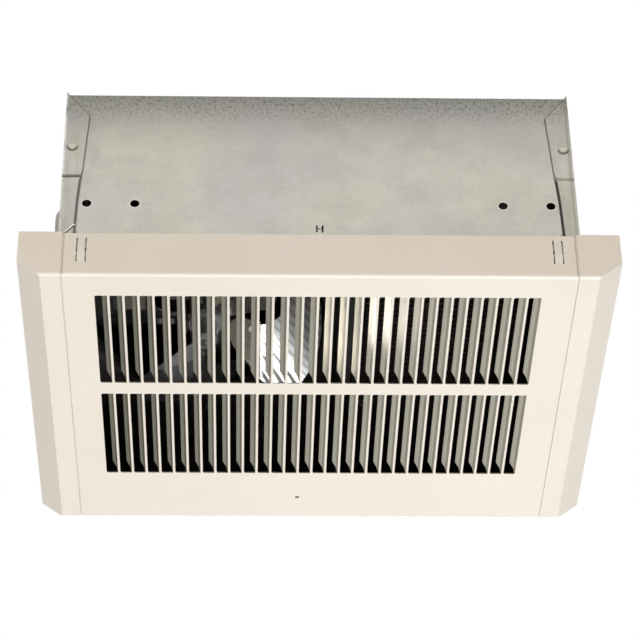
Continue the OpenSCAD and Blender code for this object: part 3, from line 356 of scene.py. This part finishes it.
def clinched():
    s = Shader("clinch_button")
    z = s.axis("Z")
    away = from_rivet(s, s.sub(HALF_L, s.absolute(s.axis("X"))), z)
    col = s.mix(s.noise(200, 3, 0.6), rgb(206, 203, 186), rgb(184, 182, 166))
    # Painted shade round the lower arc of the button and a painted dark dash above it
    lower_arc_shade = s.mul(s.remap(away, 0.0024, 0.003, 0, 0.8),
                  s.remap(z, RIVET_Z - 0.001, RIVET_Z + 0.001, 1, 0))
    dash_shade = s.mul(s.remap(z, RIVET_Z + 0.0022, RIVET_Z + 0.0028, 0, 0.6), s.below(away, 0.0034))
    col = s.mix(s.larger(lower_arc_shade, dash_shade), col, rgb(86, 84, 70))
    s.set(Base_Color=col, Metallic=0.35, Roughness=0.5)
    return s.bump(s.noise(260, 4, 0.6), 0.1, 0.0003).mat


# Inside
def cover_zinc():
    s = Shader("dull_zinc_cover")
    n = s.noise(180, 4, 0.6)
    col = s.mix(s.remap(s.noise(45, 4, 0.6), 0.35, 0.7, 0, 1),
                rgb(132, 129, 116), rgb(112, 108, 94))
    # Painted shade over the left end of the cover
    shade = s.remap(s.axis("X"), -0.137, -0.146, 0.25, 0.95)
    s.set(Base_Color=s.mix(shade, col, rgb(26, 25, 22)), Metallic=0.6,
          Roughness=s.remap(n, 0.3, 0.7, 0.45, 0.6))
    return s.bump(n, 0.12, 0.0002).mat


def black_sheet():
    s = Shader("flat_black_sheet")
    n = s.noise(60, 5, 0.6)
    col = s.mix(s.remap(n, 0.35, 0.7, 0, 1), rgb(24, 23, 22), rgb(38, 36, 33))
    dust = s.remap(s.noise(18, 4, 0.7), 0.5, 0.75, 0, 0.4)
    s.set(Base_Color=s.mix(dust, col, rgb(70, 66, 58)), Roughness=0.68)
    return s.bump(s.noise(500, 2, 0.5), 0.15, 0.0002).mat


def plated(name, colour, metallic=0.9, rough=(0.24, 0.42), grain=300, stretch=(1, 1, 1)):
    s = Shader(name)
    n = s.noise(grain, 4, 0.6, s.stretched(stretch))
    stain = s.remap(s.noise(45, 4, 0.6), 0.35, 0.7, 0, 0.3)
    s.set(Base_Color=s.mix(stain, colour, darker(colour, 0.5)), Metallic=metallic,
          Roughness=s.remap(n, 0.3, 0.7, *rough))
    return s.bump(n, 0.12, 0.0002).mat


def laminations():
    s = Shader("stacked_laminations")
    line = s.node("TexWave", {"Vector": s.coords, "Scale": 320.0, "Distortion": 0.15,
                              "Detail": 1.0}, bands_direction="Z").outputs["Fac"]
    rust = s.remap(s.noise(130, 5, 0.65), 0.52, 0.75, 0, 0.6)
    col = s.mix(s.remap(line, 0.1, 0.9, 0, 1), rgb(44, 42, 40), rgb(92, 90, 86))
    s.set(Base_Color=s.mix(rust, col, rgb(92, 62, 40)), Metallic=0.6, Roughness=0.5)
    return s.bump(line, 0.5, 0.0003).mat


def plastic(name, colour, rough=0.45, sub=0.0):
    s = Shader(name)
    stain = s.remap(s.noise(30, 3, 0.6), 0.4, 0.75, 0, 0.25)
    s.set(Base_Color=s.mix(stain, colour, darker(colour, 0.75)), Roughness=rough,
          Subsurface_Weight=sub)
    return s.bump(s.noise(260, 3, 0.5), 0.08, 0.0002).mat


def sheath():
    s = Shader("element_sheath")
    tint = s.remap(s.noise(40, 3, 0.6), 0.35, 0.7, 0, 1)
    s.set(Base_Color=s.mix(tint, rgb(74, 66, 58), rgb(98, 78, 62)), Metallic=0.75,
          Roughness=s.remap(s.noise(300, 3), 0.3, 0.7, 0.38, 0.6))
    return s.bump(s.noise(400, 3), 0.1, 0.0002).mat


def winding():
    s = Shader("enamelled_wire")
    turns = s.node("TexWave", {"Vector": s.coords, "Scale": 420.0, "Distortion": 0.3,
                               "Detail": 1.0}, bands_direction="DIAGONAL").outputs["Fac"]
    tint = s.remap(s.noise(90, 4, 0.6), 0.35, 0.7, 0, 1)
    s.set(Base_Color=s.mix(tint, rgb(150, 84, 44), rgb(118, 58, 30)), Metallic=0.7,
          Roughness=0.32, Coat_Weight=0.5, Coat_Roughness=0.2)
    return s.bump(turns, 0.6, 0.0003).mat


# Fan
def polished(name):
    """Rolled aluminium, still without its Base Color and Roughness: both are given back."""
    s = Shader(name)
    streaks = s.noise(55, 5, 0.62, s.stretched((1, 1, 6), (0.4, 0.2, 0.9)))
    fine = s.noise(900, 2, 0.5, s.stretched((1, 14, 1), (0, 0, 0.6)))
    col = s.mix(s.remap(streaks, 0.3, 0.75, 0, 1), rgb(232, 233, 232), rgb(196, 197, 194))
    s.set(Metallic=0.95)
    s.bump(fine, 0.04, 0.0001)
    return s, col, s.remap(fine, 0.3, 0.7, 0.05, 0.1)


def polished_arm():
    s, col, rough = polished("polished_aluminium")
    return s.set(Base_Color=col, Roughness=rough).mat


def blade_place(s, x, y):
    """Along and across the blade that a point is on."""
    quarter = math.pi / 2
    turn = s.add(s.math("ARCTAN2", y, x), QUARTER_START)
    turn = s.sub(s.math("FLOORED_MODULO", turn, quarter), QUARTER_START)
    away = s.distance(x, y)
    out = s.mul(away, s.math("COSINE", turn))
    side = s.sub(s.mul(away, s.math("SINE", turn)), ARM_OFF)
    return out, side


def blade_form(s, out, side, first):
    """Height of a bump that shades the even blades as if bent and twisted beyond a crease."""
    bent = s.larger(s.sub(out, CREASE_OUT), 0.0)
    slope = s.sub(s.mul(side, 4.5), 0.29)
    inner = s.mul(first, s.remap(out, 0.033, 0.041, 0.28, 0, "SMOOTHSTEP"))
    return s.add(s.mul(bent, slope), s.mul(side, s.add(inner, 0.1)))


def formed_blade():
    """Blades: the first has a satin root with painted shade and a mirror tip, the second is dull
    near the hub.
    """
    s, col, rough = polished("formed_aluminium")
    x, y = s.sub(s.axis("X"), FAN_AT[0]), s.sub(s.axis("Y"), FAN_AT[1])
    out, side = blade_place(s, x, y)
    first = s.mul(s.remap(s.sub(s.mul(x, 1.3), y), 0.0, 0.01, 0, 1),
                  s.remap(x, 0.005, 0.015, 0, 1),
                  s.remap(s.add(s.mul(x, 0.7), y), 0.0, 0.005, 0, 1))
    second = s.remap(s.distance(s.mul(s.add(x, 0.018), 1.9), s.sub(y, 0.034)),
                     0.024, 0.036, 1, 0)
    tip = s.sub(s.sub(side, 0.006), s.mul(s.sub(out, 0.052), 1.57))
    mirror = s.mul(s.remap(tip, -0.004, 0.0, 0, 1), s.remap(out, 0.04, 0.043, 0, 1))
    satin = s.mul(first, s.sub(1.0, mirror))
    # Painted stripes of shadow from the louvre bars over the first blade's satin part
    wave = s.node("TexWave", {"Vector": s.stretched((1, 1, 1), (0, 0, 0.75)), "Scale": 60.0,
                              "Distortion": 2.0, "Detail": 2.0}, bands_direction="X")
    bar_shadow_stripes = s.mul(s.remap(wave.outputs["Fac"], 0.5, 0.9, 0, 0.6), satin)
    col = s.mix(bar_shadow_stripes, col, rgb(150, 150, 140))
    # Painted shade on the first blade near the hub
    root = s.mul(first, s.remap(out, 0.04, 0.043, 0.85, 0))
    col = s.mix(root, col, rgb(134, 132, 112))
    rough = s.add(rough, s.mul(s.larger(satin, second), 0.34))
    form = s.node("Bump", {"Height": blade_form(s, out, side, first), "Strength": 1.0,
                           "Distance": 1.0})
    fine_bump = s.bsdf.inputs["Normal"].links[0].from_node
    s.put(fine_bump.inputs["Normal"], form.outputs[0])
    return s.set(Base_Color=col, Roughness=rough).mat


ENAMEL = enamel()
TAB = galvanised("galvanised_end_panel", tab_streaks_and_painted_light)
BLACK = black_sheet()
ZINC = plated("zinc_plating", rgb(190, 190, 186))
CAST = plated("cast_aluminium", rgb(182, 182, 178), 0.85, (0.4, 0.6), 700)
LAMS = laminations()
BOBBIN = plastic("bobbin_nylon", rgb(226, 220, 200), 0.42, 0.1)

# What each node is finished in. The nodes not named here are zinc plated.
FINISH = {
    "housing_wrapper": galvanised("galvanised_sheet", wall_painted_light),
    "left_end_panel": TAB,
    "right_end_panel": TAB,
    "corner_rivets": clinched(),
    "fan_deck": BLACK,
    "divider": BLACK,
    "wiring_cover": cover_zinc(),
    "terminal_block": plastic("terminal_body", rgb(214, 206, 184), 0.38, 0.05),
    "ground_screw": plated("green_plating", rgb(48, 120, 62), 0.6, (0.3, 0.45), 400),
    "lower_bearing_bracket": CAST,
    "upper_bearing_bracket": CAST,
    "bearing_bushes": plated("sintered_bronze", rgb(150, 118, 70), 0.8, (0.4, 0.55), 900),
    "stator_core": LAMS,
    "rotor_core": LAMS,
    "shading_rings": plated("bare_copper", rgb(190, 116, 76), 1.0, (0.25, 0.4), 400),
    "coil_bobbin": BOBBIN,
    "coil_winding": winding(),
    "heating_element": sheath(),
    "element_plates": plated("element_plates", rgb(120, 112, 104), 0.8, (0.35, 0.5), 220),
    "element_bushes": plastic("glazed_ceramic", rgb(232, 228, 216), 0.2, 0.05),
    "limit_switch": plastic("phenolic", rgb(44, 42, 42), 0.4),
    "motor_shaft": plated("bright_shaft", rgb(200, 200, 200), 1.0, (0.18, 0.3), 500, (1, 1, 8)),
    "rotor_end_rings": CAST,
    "thrust_washers": BOBBIN,
    "fan_hub": CAST,
    "hub_set_screw": plated("black_oxide", rgb(52, 50, 48), 0.8, (0.3, 0.5), 500),
    "fan_spider": polished_arm(),
    "fan_blades": formed_blade(),
    "louvre_panel": ENAMEL,
    "left_end_cap": ENAMEL,
    "right_end_cap": ENAMEL,
    "motor_leads": plastic("white_insulation", rgb(226, 223, 212), 0.4, 0.05),
    "heater_leads": plastic("red_insulation", rgb(176, 58, 42), 0.42),
    "lead_receptacles": plated("tinned_brass", rgb(204, 186, 130), 0.95, (0.25, 0.4), 400),
}
for name, ob in NODES.items():
    mat = FINISH.get(name, ZINC)
    for slot in ob.material_slots:
        slot.material = mat
    if not ob.material_slots:
        ob.data.materials.append(mat)


# Stage: pale floor, white surroundings, soft lamps
def pale_floor():
    s = Shader("pale_floor")
    tint = s.remap(s.noise(3, 2, 0.5), 0.3, 0.7, 0, 1)
    s.set(Base_Color=s.mix(tint, (0.8, 0.8, 0.79, 1), (0.77, 0.77, 0.76, 1)), Roughness=0.8)
    return s.mat


def floor():
    bm = bmesh.new()
    bmesh.ops.create_grid(bm, x_segments=1, y_segments=1, size=12)
    me = bpy.data.meshes.new("floor")
    bm.to_mesh(me)
    bm.free()
    ob = bpy.data.objects.new("floor", me)
    ob.location = (0, 0, FLOOR_Z)
    me.materials.append(pale_floor())
    scene.collection.objects.link(ob)


def surroundings():
    """A world that looks white to the camera and in reflections, and lights the part faintly."""
    faint, white = 0.03, 1.0
    world = bpy.data.worlds.new("surroundings")
    scene.world = world
    world.use_nodes = True
    nt = world.node_tree
    path = nt.nodes.new("ShaderNodeLightPath")
    seen = path.outputs["Is Camera Ray"]
    for ray in ("Is Glossy Ray", "Is Transmission Ray"):
        total = nt.nodes.new("ShaderNodeMath")
        total.operation = "ADD"
        total.use_clamp = True
        nt.links.new(seen, total.inputs[0])
        nt.links.new(path.outputs[ray], total.inputs[1])
        seen = total.outputs[0]
    level = nt.nodes.new("ShaderNodeMapRange")
    level.inputs["To Min"].default_value = faint
    level.inputs["To Max"].default_value = white
    nt.links.new(seen, level.inputs["Value"])
    background = nt.nodes["Background"]
    background.inputs["Color"].default_value = (1, 1, 1, 1)
    nt.links.new(level.outputs[0], background.inputs["Strength"])


def lamp(name, at, size, watts, colour, aim=(0, 0, 0), spread=180):
    data = bpy.data.lights.new(name, "AREA")
    data.shape = "RECTANGLE"
    data.size, data.size_y = size
    data.energy = watts
    data.color = colour
    data.spread = math.radians(spread)
    ob = bpy.data.objects.new(name, data)
    ob.location = at
    ob.rotation_euler = (Vector(aim) - Vector(at)).to_track_quat("-Z", "Y").to_euler()
    scene.collection.objects.link(ob)


COOL, WHITE, GLARE = (0.95, 0.965, 1.0), (1, 1, 1), (1.0, 0.95, 1.0)
floor()
surroundings()
lamp("front", (-0.1, -2.6, 0.3), (1.6, 1.0), 39, (1.0, 0.942, 0.884))
lamp("under_right", (0.5, 0.15, -1.3), (1.0, 1.0), 12, COOL)
lamp("under_left", (-0.95, 0.1, -1.15), (0.9, 0.9), 4.3, (1.0, 0.95, 0.89))
lamp("under_fill", (0.1, -0.1, -1.6), (3.0, 3.0), 10.5, COOL)
# Two small lamps inside stand in for the light that the polished blade throws on the louvres
lamp("blade_glance", (-0.009, -0.085, 0.02), (0.07, 0.01), 0.19, GLARE,
     aim=(0.016, -0.085, -0.034), spread=50)
lamp("element_glance", (0.0215, -0.099, -0.016), (0.056, 0.005), 0.024, GLARE,
     aim=(0.035, -0.099, -0.034), spread=80)
lamp("top", (0.3, 0.4, 2.2), (2.0, 2.0), 24, WHITE)
lamp("back", (-0.3, 2.6, 0.5), (1.6, 1.0), 24, WHITE)

scene.view_settings.view_transform = "Standard"

bpy.context.view_layer.update()
